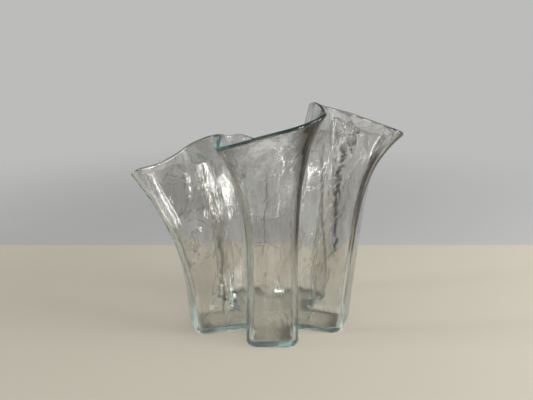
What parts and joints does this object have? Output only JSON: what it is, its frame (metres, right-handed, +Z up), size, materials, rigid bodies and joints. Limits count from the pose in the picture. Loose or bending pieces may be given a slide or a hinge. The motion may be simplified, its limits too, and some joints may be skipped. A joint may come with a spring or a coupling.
{
  "type": "handkerchief vase",
  "caption": "Clear blown-glass vase with a lobed flat foot whose folds flare upwards into an uneven, folded handkerchief rim.",
  "frame": {"origin": "middle of the foot's flat underside, on the axis that the five lobes go round", "axes": "+Z up; -Y towards the front lobe, the one nearest the viewer; +X towards the viewer's right"},
  "size_m": [0.2539, 0.2632, 0.2415],
  "materials": {
    "clear_glass": "clear blown glass with a soft hand-worked ripple, a fire-polished rim and a faint grey-green tint"
  },
  "bodies": {
    "root": {"glass_body": "clear_glass"}
  },
  "joints": []
}
